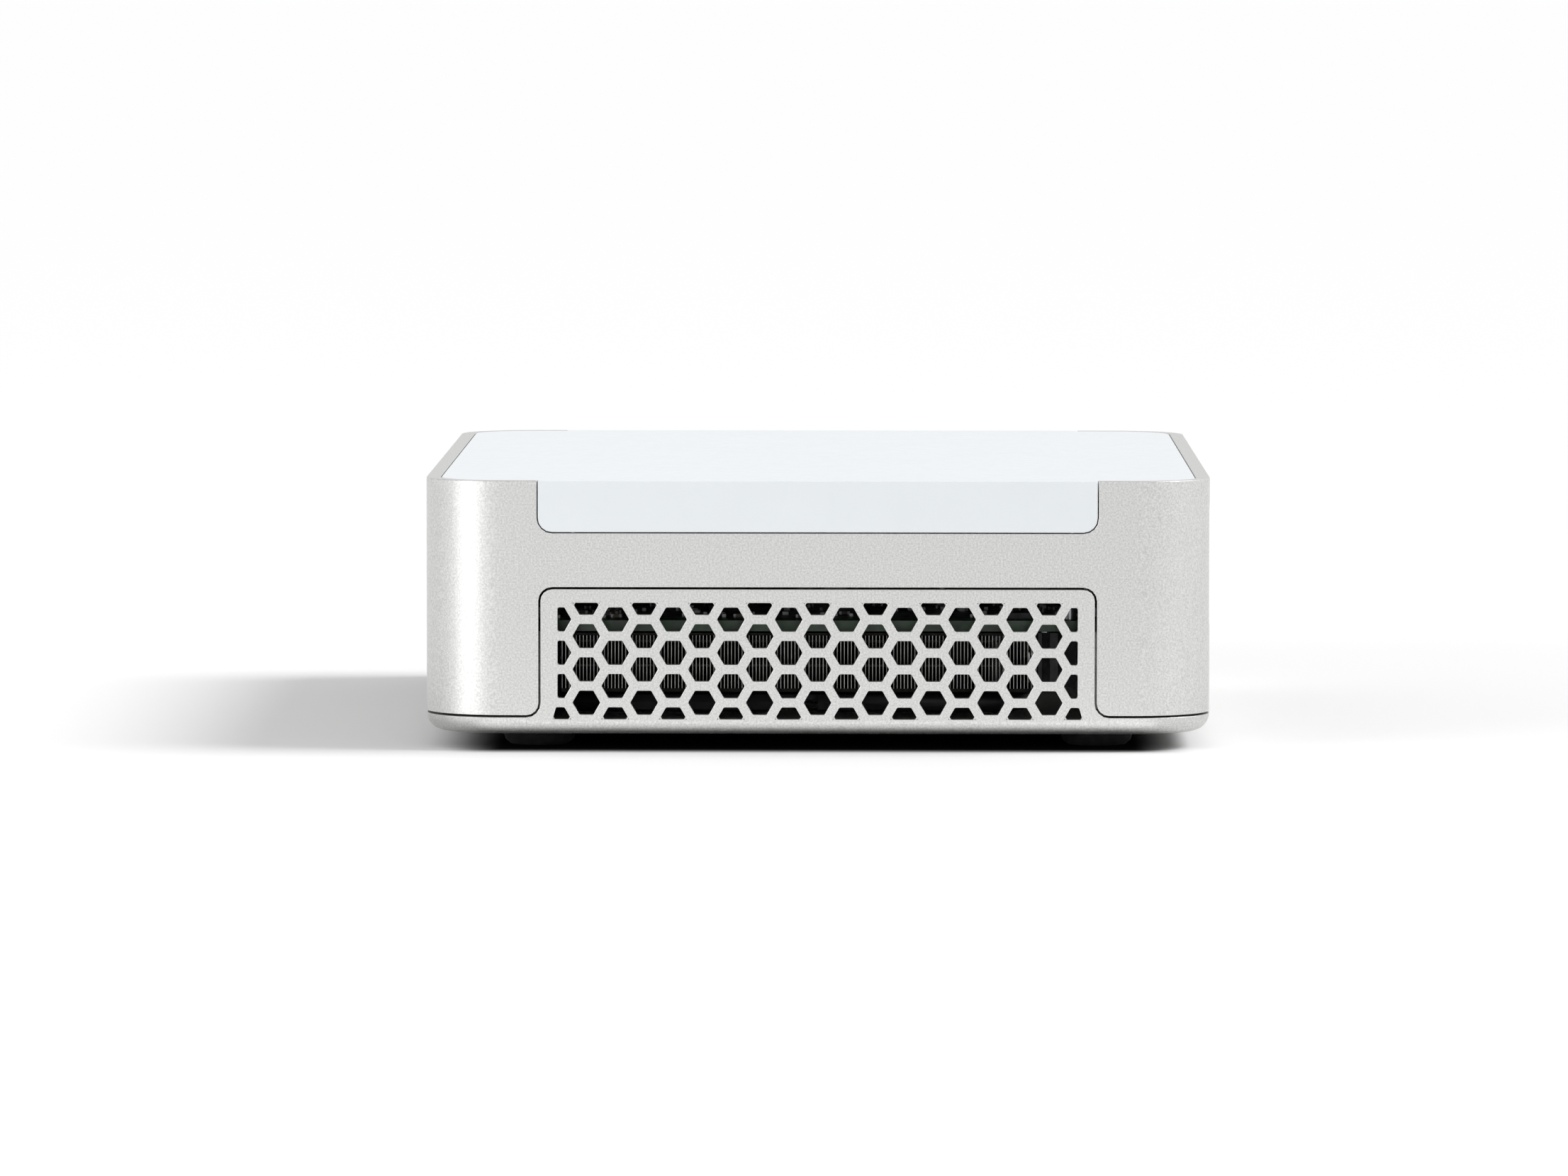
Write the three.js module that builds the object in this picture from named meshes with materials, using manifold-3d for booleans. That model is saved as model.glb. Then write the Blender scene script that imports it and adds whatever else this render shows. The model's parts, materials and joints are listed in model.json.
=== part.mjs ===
// A mini pc, in millimetres: +Z up, the front towards -Y, the origin on the floor under its centre.
// A rounded aluminium ring holds the boards; a white lid with two side tabs closes it from above,
// and a tray whose honeycomb sides rise into the ring closes it from below.
import * as THREE from "three";
import { mergeVertices } from "three/addons/utils/BufferGeometryUtils.js";
import Module from "manifold-3d";

const wasm = await Module();
wasm.setup();

// ---- driving dimensions ----
const width = 144;
const depth = 112;
const bodyHeight = 36.1;
const footHeight = 2.4;
const cornerRadius = 11;
const wall = 2;
const seam = 0.3; // gap between two pieces that meet
const overcut = 1; // how far a cutter runs past the face it cuts

const top = footHeight + bodyHeight;
const right = width / 2;
const rear = depth / 2;

// the split between ring and tray, and the honeycomb panel that rises from the tray
const splitZ = 5;
const trayTop = splitZ - seam / 2;
const ringBottom = splitZ + seam / 2;
const trayFloor = 1.5;
const trayFloorTop = footHeight + trayFloor;
const panel = { halfWidth: 39.35, top: 23.1, thickness: 1.6, corner: 1.65, flare: 2.05 };

// the lid
const lid = { thickness: 1.6, tabHalfWidth: 39.73, tabBottom: 31.22, tabCorner: 2, seam: 0.15 };
const lidBottom = top - lid.thickness;
const ledge = { thickness: 1, reach: 2.5 };

// the honeycomb: columns of flat-topped hexagons, every second column half a pitch higher
const comb = { pitch: 4.74, across: 3.42, columns: 18, rows: 3.5, bottom: 4.6 };
const combStep = (comb.pitch * Math.sqrt(3)) / 2;
const combHalf = (comb.columns * combStep) / 2;
const combTop = comb.bottom + comb.rows * comb.pitch;

// corner posts, which take a tray screw from below and a board screw from above
const post = { x: 56.5, y: 40, radius: 3, bore: 1.5, rib: 2 };
const corners = [
  { name: "front_left", x: -post.x, y: -post.y },
  { name: "front_right", x: post.x, y: -post.y },
  { name: "rear_left", x: -post.x, y: post.y },
  { name: "rear_right", x: post.x, y: post.y },
];

// the main board
const board = { x: 68.5, y: 53, bottom: 16.9, thickness: 1.6 };
const boardTop = board.bottom + board.thickness;

// the blower and the fins that it blows through
const fan = { x: 25, y: -3, halfX: 29.5, halfY: 29.8, bottom: 6, radius: 24, hub: 10, blades: 19 };
const fins = { x0: 55.3, x1: 66.3, y0: -36.5, y1: 31, bottom: 8.1, top: 16.5, pitch: 2.25, thickness: 0.6 };
const pipeRadius = 1.5;

// ---- materials ----
const paint = (color, roughness, metalness = 0) =>
  new THREE.MeshStandardMaterial({ color, roughness, metalness });
const finish = {
  aluminium: paint(0xd3d4d2, 0.42, 0.9),
  lid: paint(0xeef1f3, 0.35),
  rubber: paint(0x18181a, 0.85),
  screw: paint(0xb9bcc0, 0.35, 1),
  board: paint(0x2c5a3a, 0.55),
  silicon: paint(0x26282b, 0.3),
  copper: paint(0xb87346, 0.32, 1),
  fin: paint(0x8e8f91, 0.4, 1),
  plastic: paint(0x1c1d1f, 0.5),
  shield: paint(0xc6c8ca, 0.3, 1),
  cable: paint(0x2a2a2c, 0.5),
  cell: paint(0xcfd1d2, 0.25, 1),
  glow: paint(0xdfeaf2, 0.3),
};

// ---- solids ----
// A closed geometry as a solid that can be joined and cut.
function solid(geometry) {
  const bare = geometry.index ? geometry.toNonIndexed() : geometry.clone();
  bare.deleteAttribute("normal");
  bare.deleteAttribute("uv");
  const merged = mergeVertices(bare, 1e-4);
  return new wasm.Manifold(
    new wasm.Mesh({
      numProp: 3,
      vertProperties: merged.attributes.position.array,
      triVerts: new Uint32Array(merged.index.array),
    }),
  );
}

// A solid as a geometry for a mesh.
function geometryOf(body) {
  const mesh = body.getMesh();
  const geometry = new THREE.BufferGeometry();
  geometry.setAttribute("position", new THREE.BufferAttribute(mesh.vertProperties, 3));
  geometry.setIndex(new THREE.BufferAttribute(mesh.triVerts, 1));
  geometry.computeVertexNormals();
  return geometry;
}

const join = (bodies) => bodies.reduce((a, b) => a.add(b));

function box(x0, x1, y0, y1, z0, z1) {
  const geometry = new THREE.BoxGeometry(x1 - x0, y1 - y0, z1 - z0);
  return solid(geometry.translate((x0 + x1) / 2, (y0 + y1) / 2, (z0 + z1) / 2));
}

// A box given by its centre in x and y, its half sizes, and its height range.
const block = (x, y, halfX, halfY, z0, z1) =>
  box(x - halfX, x + halfX, y - halfY, y + halfY, z0, z1);

function rodZ(x, y, radius, z0, z1, sides = 16) {
  const geometry = new THREE.CylinderGeometry(radius, radius, z1 - z0, sides);
  return solid(geometry.rotateX(Math.PI / 2).translate(x, y, (z0 + z1) / 2));
}

function rodY(x, z, radius, y0, y1, sides = 20) {
  const geometry = new THREE.CylinderGeometry(radius, radius, y1 - y0, sides);
  return solid(geometry.translate(x, (y0 + y1) / 2, z));
}

// A shape drawn in x and y, given height.
function slab(shape, z0, z1, curveSegments = 2) {
  const options = { depth: z1 - z0, bevelEnabled: false, curveSegments };
  return solid(new THREE.ExtrudeGeometry(shape, options).translate(0, 0, z0));
}

// A shape drawn in y and z, given thickness along x.
function slabX(shape, x0, x1, curveSegments = 2) {
  const options = { depth: x1 - x0, bevelEnabled: false, curveSegments };
  const stand = new THREE.Matrix4().set(0, 0, 1, x0, 1, 0, 0, 0, 0, 1, 0, 0, 0, 0, 0, 1);
  return solid(new THREE.ExtrudeGeometry(shape, options).applyMatrix4(stand));
}

// A shape drawn in x and z, given thickness along y.
function slabY(shape, y0, y1, curveSegments = 1) {
  const options = { depth: y1 - y0, bevelEnabled: false, curveSegments };
  const stand = new THREE.Matrix4().set(1, 0, 0, 0, 0, 0, -1, y1, 0, 1, 0, 0, 0, 0, 0, 1);
  return solid(new THREE.ExtrudeGeometry(shape, options).applyMatrix4(stand));
}

function roundedRect(w, h, r, cx = 0, cy = 0) {
  const shape = new THREE.Shape();
  const [x, y] = [w / 2 - r, h / 2 - r];
  shape.absarc(cx + x, cy + y, r, 0, Math.PI / 2);
  shape.absarc(cx - x, cy + y, r, Math.PI / 2, Math.PI);
  shape.absarc(cx - x, cy - y, r, Math.PI, 1.5 * Math.PI);
  shape.absarc(cx + x, cy - y, r, 1.5 * Math.PI, 2 * Math.PI);
  shape.closePath();
  return shape;
}

// A profile of [radius, height] pairs turned about a vertical axis.
function turned(x, y, profile, sides = 12) {
  const points = profile.map(([r, z]) => new THREE.Vector2(r, z));
  const geometry = new THREE.LatheGeometry([...points, points[0]], sides);
  return solid(geometry.rotateX(Math.PI / 2).translate(x, y, 0));
}

// A polyline whose corners are rounded, as one curve.
function bentPath(points, radius) {
  const path = new THREE.CurvePath();
  let from = points[0];
  for (let i = 1; i < points.length; i++) {
    const corner = points[i];
    const next = points[i + 1];
    const back = from.clone().sub(corner).normalize();
    const before = next ? corner.clone().addScaledVector(back, radius) : corner;
    path.add(new THREE.LineCurve3(from, before));
    if (!next) break;
    const ahead = next.clone().sub(corner).normalize();
    const after = corner.clone().addScaledVector(ahead, radius);
    path.add(new THREE.QuadraticBezierCurve3(before, corner, after));
    from = after;
  }
  return path;
}

// A round bar that follows a path.
function bar(path, radius, steps, sides = 8) {
  const section = new THREE.Shape();
  section.absarc(0, 0, radius, 0, 2 * Math.PI);
  const options = { extrudePath: path, steps, curveSegments: sides / 2, bevelEnabled: false };
  return solid(new THREE.ExtrudeGeometry(section, options));
}

// ---- casing ----
// The outline, in y and z, of the opening or panel whose lower corners flare into the split line.
function flaredOutline(halfWidth, bottom, head, corner, flare, foot) {
  const shape = new THREE.Shape();
  const wide = halfWidth + flare;
  shape.moveTo(-wide, foot);
  shape.lineTo(wide, foot);
  shape.lineTo(wide, bottom);
  shape.absarc(wide, bottom + flare, flare, 1.5 * Math.PI, Math.PI, true);
  shape.absarc(halfWidth - corner, head - corner, corner, 0, Math.PI / 2);
  shape.absarc(-halfWidth + corner, head - corner, corner, Math.PI / 2, Math.PI);
  shape.absarc(-wide, bottom + flare, flare, 0, -Math.PI / 2, true);
  shape.closePath();
  return shape;
}

// The outline, in y and z, of a lid tab or of the notch it fills: round lower corners, open above.
function tabOutline(halfWidth, bottom, head, corner) {
  const shape = new THREE.Shape();
  shape.absarc(-halfWidth + corner, bottom + corner, corner, Math.PI, 1.5 * Math.PI);
  shape.absarc(halfWidth - corner, bottom + corner, corner, 1.5 * Math.PI, 2 * Math.PI);
  shape.lineTo(halfWidth, head);
  shape.lineTo(-halfWidth, head);
  shape.closePath();
  return shape;
}

const frontPorts = { usbA: [-46, -27], usbC: -10, button: { x: 54, z: 24 } };
const rearPorts = { panel: { x0: -54, x1: 62, z0: 17.3, z1: 35.2 }, lock: { x: -58.5, z: 25 } };
const usbC = { width: 8.94, height: 3.16, wall: 0.3, depth: 8 };
const usbA = { width: 13.2, height: 5.8, wall: 0.35, depth: 13 };
const ventSlots = { count: 14, pitch: 6, width: 3, z0: 7.5, z1: 14.5 };
const button = { radius: 4.3, travel: 0.4, ringOuter: 5.4, ringInner: 4.7 };

function housingRing() {
  const outer = slab(roundedRect(width, depth, cornerRadius), ringBottom, top, 4);
  const inside = roundedRect(width - 2 * wall, depth - 2 * wall, cornerRadius - wall);
  let ring = outer.subtract(slab(inside, ringBottom - overcut, top + overcut, 4));

  const ledgeTop = lidBottom - seam;
  const lip = ledge.reach + wall;
  const ledgeHole = roundedRect(width - 2 * lip, depth - 2 * lip, cornerRadius - lip);
  const overlap = 0.5; // how deep the ledge is rooted in the wall
  const root = wall - overlap;
  const ledgeOutline = roundedRect(width - 2 * root, depth - 2 * root, cornerRadius - root);
  const shelf = slab(ledgeOutline, ledgeTop - ledge.thickness, ledgeTop, 4);
  ring = ring.add(shelf.subtract(slab(ledgeHole, 0, top, 4)));

  for (const { x, y } of corners) {
    const wallY = Math.sign(y) * (rear - wall / 2);
    const rib = box(
      x - post.rib / 2, x + post.rib / 2,
      Math.min(y, wallY), Math.max(y, wallY),
      8, board.bottom - 1,
    );
    ring = ring.add(rodZ(x, y, post.radius, ringBottom, board.bottom)).add(rib);
    ring = ring.subtract(rodZ(x, y, post.bore, 0, top, 12));
  }

  const vent = flaredOutline(
    panel.halfWidth + seam, ringBottom, panel.top + seam,
    panel.corner + seam, panel.flare - seam, 0,
  );
  const notch = tabOutline(
    lid.tabHalfWidth + lid.seam, lid.tabBottom - lid.seam, top + overcut, lid.tabCorner + lid.seam,
  );
  for (const [x0, x1] of [[-80, -right + wall + seam], [right - wall - seam, 80]]) {
    ring = ring.subtract(slabX(vent, x0, x1)).subtract(slabX(notch, x0, x1));
  }
  return ring.subtract(frontOpenings()).subtract(rearOpenings());
}

function frontOpenings() {
  const clear = 2 * seam;
  const portHole = (port, x, corner) => {
    const z = boardTop + port.height / 2;
    const outline = roundedRect(port.width + clear, port.height + clear, corner, x, z);
    return slabY(outline, -rear - overcut, -rear + wall + overcut, 2);
  };
  const holes = frontPorts.usbA.map((x) => portHole(usbA, x, 0.8));
  holes.push(portHole(usbC, frontPorts.usbC, 1.8));
  const { x, z } = frontPorts.button;
  holes.push(rodY(x, z, button.ringOuter + seam, -rear - overcut, -rear + wall + overcut, 20));
  return join(holes);
}

function rearOpenings() {
  const { panel: io, lock } = rearPorts;
  const from = rear - wall - overcut;
  const to = rear + overcut;
  const size = [io.x1 - io.x0, io.z1 - io.z0];
  const middle = [(io.x0 + io.x1) / 2, (io.z0 + io.z1) / 2];
  const holes = [slabY(roundedRect(...size, 1.5, ...middle), from, to, 2)];
  const lockSize = { width: 3, height: 7 };
  holes.push(slabY(roundedRect(lockSize.width, lockSize.height, 0.8, lock.x, lock.z), from, to, 2));
  for (let i = 0; i < ventSlots.count; i++) {
    const x = (i - (ventSlots.count - 1) / 2) * ventSlots.pitch;
    holes.push(block(x, rear, ventSlots.width / 2, wall + overcut, ventSlots.z0, ventSlots.z1));
  }
  return join(holes);
}

function lidPlate() {
  const inset = wall + lid.seam;
  const outline = roundedRect(width - 2 * inset, depth - 2 * inset, cornerRadius - inset);
  let plate = slab(outline, lidBottom, top, 4);
  const half = lid.tabHalfWidth;
  const tab = tabOutline(half, lid.tabBottom, top, lid.tabCorner);
  const overlap = 3; // how far the bridge between plate and tab runs under the plate's edge
  for (const side of [-1, 1]) {
    const [x0, x1] = [side * (right - wall), side * right].sort((a, b) => a - b);
    const [b0, b1] = [side * (right - wall - overlap), side * right].sort((a, b) => a - b);
    plate = plate.add(slabX(tab, x0, x1)).add(box(b0, b1, -half, half, lidBottom, top));
  }
  return plate;
}

function hexagon(y, z, across) {
  const shape = new THREE.Shape();
  const reach = across / Math.sqrt(3);
  const turn = Math.PI / 3;
  shape.moveTo(y + reach, z);
  for (let i = 1; i < 6; i++) {
    shape.lineTo(y + reach * Math.cos(i * turn), z + reach * Math.sin(i * turn));
  }
  shape.closePath();
  return shape;
}

// The cutter for one side's honeycomb, trimmed to its rectangle, with a small cell in each lower end.
function sideComb(x0, x1) {
  const cells = [];
  for (let column = 0; column <= comb.columns; column++) {
    const y = (column - comb.columns / 2) * combStep;
    const start = column % 2 === 0 ? 0 : 0.5;
    for (let row = start; row <= comb.rows; row++) {
      cells.push(slabX(hexagon(y, comb.bottom + row * comb.pitch, comb.across), x0, x1));
    }
  }
  const frame = box(x0, x1, -combHalf, combHalf, comb.bottom, combTop);
  const cut = join(cells).intersect(frame);
  const end = { base: 0.7, shoulder: 0.2, height: comb.across / 2 };
  const small = [-1, 1].map((side) => {
    const shape = new THREE.Shape();
    shape.moveTo(side * (combHalf + end.base), comb.bottom);
    shape.lineTo(side * (combHalf - 0.5), comb.bottom);
    shape.lineTo(side * (combHalf - 0.5), comb.bottom + end.height);
    shape.lineTo(side * (combHalf + end.shoulder), comb.bottom + end.height);
    shape.closePath();
    return slabX(shape, x0, x1);
  });
  return cut.add(small[0]).add(small[1]);
}

// The air inlet under the blower: a round field of hexagons.
function inletComb() {
  const field = { pitch: 7.6, across: 5.4, radius: 21 };
  const step = (field.pitch * Math.sqrt(3)) / 2;
  const reach = Math.ceil(field.radius / step);
  const cells = [];
  for (let i = -reach; i <= reach; i++) {
    for (let j = -reach; j <= reach; j++) {
      const dx = i * step;
      const dy = (j + (Math.abs(i) % 2) / 2) * field.pitch;
      if (Math.hypot(dx, dy) > field.radius) continue;
      cells.push(slab(hexagon(fan.x + dx, fan.y + dy, field.across), 0, trayTop + overcut));
    }
  }
  return join(cells);
}

const insertAt = [{ name: "front", y: -46 }, { name: "rear", y: 46 }];

function tray() {
  const edge = trayTop - footHeight; // the round lower edge takes the rim's whole height
  const rounded = new THREE.ExtrudeGeometry(roundedRect(width, depth, cornerRadius), {
    depth: 1,
    bevelThickness: edge,
    bevelSize: edge,
    bevelOffset: -edge,
    bevelSegments: 3,
    curveSegments: 4,
  });
  let body = solid(rounded.translate(0, 0, trayTop));
  body = body.intersect(box(-right - 1, right + 1, -rear - 1, rear + 1, 0, trayTop));
  const inside = roundedRect(width - 2 * wall, depth - 2 * wall, cornerRadius - wall);
  body = body.subtract(slab(inside, trayFloorTop, trayTop + overcut, 4));

  const side = flaredOutline(
    panel.halfWidth, trayTop, panel.top, panel.corner, panel.flare, trayFloorTop,
  );
  const inner = right - panel.thickness;
  body = body.add(slabX(side, inner, right)).add(slabX(side, -right, -inner));
  body = body.subtract(sideComb(inner - overcut, right + overcut));
  body = body.subtract(sideComb(-right - overcut, -inner + overcut));
  body = body.subtract(inletComb());
  const screwHole = 1.8;
  const insertHole = 2.5;
  for (const { x, y } of corners) {
    body = body.subtract(rodZ(x, y, screwHole, 0, trayTop, 10));
  }
  for (const { y } of insertAt) body = body.subtract(rodZ(0, y, insertHole, 0, trayTop, 16));
  return body;
}

// ---- feet, screws, inserts ----
// A rubber ring whose hole lets a screwdriver reach the tray screw.
const foot = ({ x, y }) =>
  turned(x, y, [[3.2, 0], [4.2, 0], [4.9, 0.6], [5.2, 1.6], [5.2, footHeight], [3.2, footHeight]], 16);

// A screw with its head down, and a collar that keeps it in the tray.
const trayScrew = ({ x, y }) =>
  turned(x, y, [
    [0, 1.3], [2.4, 1.3], [2.8, 1.7], [2.8, footHeight], [1.2, footHeight],
    [1.2, 4.4], [2, 4.4], [2, 4.9], [1.2, 4.9], [1.2, 10], [0, 10.6],
  ], 10);

const boardScrew = ({ x, y }) =>
  turned(x, y, [
    [0, 11.4], [1.2, 11.9], [1.2, boardTop], [3.2, boardTop], [3.2, boardTop + 1.2],
    [2.5, boardTop + 1.9], [0, boardTop + 1.9],
  ], 10);

const bracketInsert = (y) =>
  turned(0, y, [
    [1.25, footHeight], [2.2, footHeight], [2.2, trayFloorTop], [3.2, trayFloorTop],
    [3.2, 7], [1.25, 7],
  ], 12);

// ---- main board and cooler ----
function mainBoard() {
  const outline = roundedRect(2 * board.x, 2 * board.y, 8);
  let plate = slab(outline, board.bottom, boardTop, 2);
  for (const { x, y } of corners) plate = plate.subtract(rodZ(x, y, 1.6, 0, top, 12));
  return plate;
}

const cpu = { x: -19.5, y: -3, halfX: 12.5, halfY: 25 };

function processor() {
  const carrier = block(cpu.x, cpu.y, cpu.halfX, cpu.halfY, board.bottom - 0.8, board.bottom);
  const tile = { halfX: 5.5, halfY: 9, gap: 1 };
  const die = (side) =>
    block(cpu.x, cpu.y + side * (tile.halfY + tile.gap), tile.halfX, tile.halfY,
      board.bottom - 1.1, board.bottom - 0.6);
  return join([carrier, die(-1), die(1)]);
}

function coldPlate() {
  const plate = slab(roundedRect(22, 42, 2, cpu.x, cpu.y), 13.7, 15.5, 1);
  const ears = [-1, 1].map((side) =>
    slab(roundedRect(24.6, 6, 1, cpu.x, cpu.y + side * 17), 14.6, 15.5, 1));
  return join([plate, ...ears]);
}

// One pipe leaves the cold plate, passes beside the blower and ends under the fins.
function heatPipe(x, start, beside, end) {
  const high = 12;
  const low = fins.bottom - seam - pipeRadius;
  const under = (fins.x0 + fins.x1) / 2;
  const points = [
    [x, start, high], [x, beside, high], [4, beside, high],
    [44, beside, low], [under, beside, low], [under, end, low],
  ].map((p) => new THREE.Vector3(...p));
  return bar(bentPath(points, 5), pipeRadius, 28);
}

function finStack() {
  const { x0, x1, y0, y1, bottom, thickness, pitch } = fins;
  let stack = box(x0, x1, y0, y1, bottom, fins.top);
  const plate = 0.6;
  const slots = [];
  for (let y = y0 + thickness; y < y1 - pitch / 2; y += pitch) {
    const end = Math.min(y + pitch - thickness, y1 - thickness);
    slots.push(box(x0 - overcut, x1 + overcut, y, end, bottom + plate, fins.top - plate));
  }
  return stack.subtract(join(slots));
}

// The blower's case: a plate above, and a wall that is open towards the fins.
function fanFrame() {
  const { x, y, halfX, halfY } = fan;
  const plateBottom = 14.4;
  const wallBottom = fan.bottom + 0.9;
  const wallThickness = 1.5;
  const outline = roundedRect(2 * halfX, 2 * halfY, 6, x, y);
  const room = roundedRect(2 * (halfX - wallThickness), 2 * (halfY - wallThickness), 5, x, y);
  const mouth = box(x + halfX - 12, x + halfX + 1, y - halfY + 2, y + halfY - 2, wallBottom - 1, plateBottom);
  const side = slab(outline, wallBottom, plateBottom).subtract(slab(room, 0, top)).subtract(mouth);
  const plate = slab(outline, plateBottom, plateBottom + 1);
  const overlap = 0.2; // roots the wall and the bearing post in the plate
  const walls = side.add(slab(outline, plateBottom - overlap, plateBottom + overlap));
  return join([plate, walls, rodZ(x, y, 1.8, 8.4, plateBottom + overlap)]);
}

function fanCover() {
  const outline = roundedRect(2 * fan.halfX, 2 * fan.halfY, 6, fan.x, fan.y);
  const inlet = rodZ(fan.x, fan.y, 17.5, 0, top, 24);
  return slab(outline, fan.bottom, fan.bottom + 0.9).subtract(inlet);
}

function fanImpeller() {
  const bore = 2.1;
  const hub = turned(fan.x, fan.y, [
    [bore, 8], [4, 7.4], [fan.hub - 0.8, 7.4], [fan.hub, 8.2], [fan.hub, 13.6], [bore, 13.6],
  ], 16);
  const blade = { inner: fan.hub - 0.4, outer: fan.radius, thickness: 0.7, sweep: 0.5, steps: 2 };
  const blades = [];
  for (let i = 0; i < fan.blades; i++) {
    const angle = (i * 2 * Math.PI) / fan.blades;
    const near = [];
    const far = [];
    for (let k = 0; k <= blade.steps; k++) {
      const share = k / blade.steps;
      const radius = blade.inner + share * (blade.outer - blade.inner);
      const turn = angle + blade.sweep * share * share;
      const half = blade.thickness / 2 / radius;
      near.push([radius, turn - half]);
      far.unshift([radius, turn + half]);
    }
    const shape = new THREE.Shape();
    [...near, ...far].forEach(([r, a], k) => {
      const point = [fan.x + r * Math.cos(a), fan.y + r * Math.sin(a)];
      if (k === 0) shape.moveTo(...point);
      else shape.lineTo(...point);
    });
    shape.closePath();
    blades.push(slab(shape, 7.7, 13.4));
  }
  return join([hub, ...blades]);
}

// ---- memory, storage, radio ----
const memory = [
  { name: "lower", back: -37.5, z: 13.5 },
  { name: "upper", back: -32.9, z: 8.8 },
];
const memoryBoard = { halfY: 34.8, length: 28, thickness: 1.2, inSlot: 2.4 };

// A memory socket: a bar on the main board, with a slot, and an arm along each end of the module.
function memorySocket({ back, z }) {
  const front = back - 4.3;
  const halfY = memoryBoard.halfY + 1.8;
  const bodyBlock = box(front, back, -halfY, halfY, z - 1.1, board.bottom);
  const reach = front - 23;
  const arms = [-1, 1].map((side) => {
    const [y0, y1] = [side * (halfY - 1.3), side * halfY].sort((a, b) => a - b);
    return box(reach, front + 1, y0, y1, z - 0.6, z + 1.8);
  });
  const slot = box(front - 1, front + memoryBoard.inSlot + seam, -memoryBoard.halfY - seam,
    memoryBoard.halfY + seam, z - seam, z + memoryBoard.thickness + seam);
  return join([bodyBlock, ...arms]).subtract(slot);
}

function memoryModule({ back, z }) {
  const x1 = back - 4.3 + memoryBoard.inSlot;
  const x0 = x1 - memoryBoard.length;
  const { halfY, thickness } = memoryBoard;
  const card = box(x0, x1, -halfY, halfY, z, z + thickness);
  const chips = [-25.5, -11, 11, 25.5].map((y) => block(x0 + 11, y, 6, 5, z - 1, z + 0.2));
  const key = box(x1 - 2, x1 + 1, -6, -4.5, z - 1, z + 2);
  return join([card, ...chips]).subtract(key);
}

const ssd = { x0: -43, x1: 37, y: 18, halfY: 11, z: 20.9 };
const wifi = { x0: -43, x1: -13, y: -14, halfY: 11, z: 20.9 };

const cardSocket = (card) => {
  const z = card.z;
  const bodyBlock = box(card.x0 - 4.5, card.x0 + 1.5, card.y - 11, card.y + 11, boardTop, z + 1.8);
  const slot = box(card.x0 - seam, card.x0 + 2, card.y - 11.3 + 0.9, card.y + 10.4, z - seam, z + 0.8 + seam);
  return bodyBlock.subtract(slot);
};

// A plug-in card: a thin board whose first 2 mm stand in the socket, its chips, and a screw notch.
function card({ x0, x1, y, z }, chips) {
  const tongue = box(x0, x0 + 3, y - 9.8, y + 9.8, z, z + 0.8);
  const plate = box(x0 + 2, x1, y - 11, y + 11, z, z + 0.8);
  const parts = chips.map(([cx, halfX, halfY]) => block(cx, y, halfX, halfY, z + 0.6, z + 1.9));
  return join([tongue, plate, ...parts]).subtract(rodZ(x1, y, 1.75, 0, top, 16));
}

const standoff = (item) =>
  turned(item.x1, item.y, [[1.3, boardTop], [2.6, boardTop], [2.6, item.z], [1.3, item.z]], 10);

const cardScrew = (item) => {
  const head = item.z + 0.8;
  return turned(item.x1, item.y, [
    [0, boardTop + 0.4], [1, boardTop + 0.4], [1, head], [2.6, head], [2.6, head + 0.6],
    [2, head + 0.9], [0, head + 0.9],
  ], 10);
};

const cell = { x: 18, y: -16, radius: 10 };
const cellHolder = () =>
  turned(cell.x, cell.y, [
    [0, boardTop], [11.4, boardTop], [11.4, boardTop + 3.4], [10.4, boardTop + 3.4],
    [10.4, boardTop + 0.8], [0, boardTop + 0.8],
  ], 20);
const coinCell = () =>
  turned(cell.x, cell.y, [
    [0, boardTop + 0.9], [8.4, boardTop + 0.9], [cell.radius, boardTop + 1.4],
    [cell.radius, boardTop + 4.1], [0, boardTop + 4.1],
  ], 20);

const antenna = { x: right - wall - seam, thickness: 0.7, halfY: 20, z0: 31.6, z1: 35.2 };
const antennaStrip = (side) => {
  const [x0, x1] = [side * (antenna.x - antenna.thickness), side * antenna.x].sort((a, b) => a - b);
  return box(x0, x1, -antenna.halfY, antenna.halfY, antenna.z0, antenna.z1);
};

// The coaxial lead from the radio card to one antenna strip.
function antennaLead(side, cardY) {
  const radius = 0.6;
  const end = side * (antenna.x - antenna.thickness - seam - radius);
  const points = [
    [-16, cardY, wifi.z + 2.2], [-16, cardY, 26.5], [-16 + side * 9, cardY + 2, 28.5],
    [end - side * 20, 4, 29], [end - side * 3, 2, 29.5], [end, 0, 30.7],
  ].map((p) => new THREE.Vector3(...p));
  return bar(new THREE.CatmullRomCurve3(points, false, "catmullrom", 0.3), radius, 16, 4);
}

// ---- ports ----
// A socket that opens along one way of y: a case, its cavity and the tongue inside.
function port({ x, z, w, h, corner, rim, face, way, length, tongue }) {
  const back = face - way * length;
  const [y0, y1] = [face, back].sort((a, b) => a - b);
  const shell = slabY(roundedRect(w, h, corner, x, z), y0, y1);
  const floor = back + way * 1.5;
  const [c0, c1] = [face + way, floor].sort((a, b) => a - b);
  const cavity = slabY(roundedRect(w - 2 * rim, h - 2 * rim, Math.max(corner - rim, 0.2), x, z), c0, c1);
  let body = shell.subtract(cavity);
  if (tongue) {
    const [t0, t1] = [face - way * tongue.inset, floor - way].sort((a, b) => a - b);
    body = body.add(box(x - tongue.w / 2, x + tongue.w / 2, t0, t1,
      z + tongue.rise - tongue.h / 2, z + tongue.rise + tongue.h / 2));
  }
  return body;
}

const frontFace = { face: -rear + 0.4, way: -1 };
const rearFace = { face: rear - 0.6, way: 1 };

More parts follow.
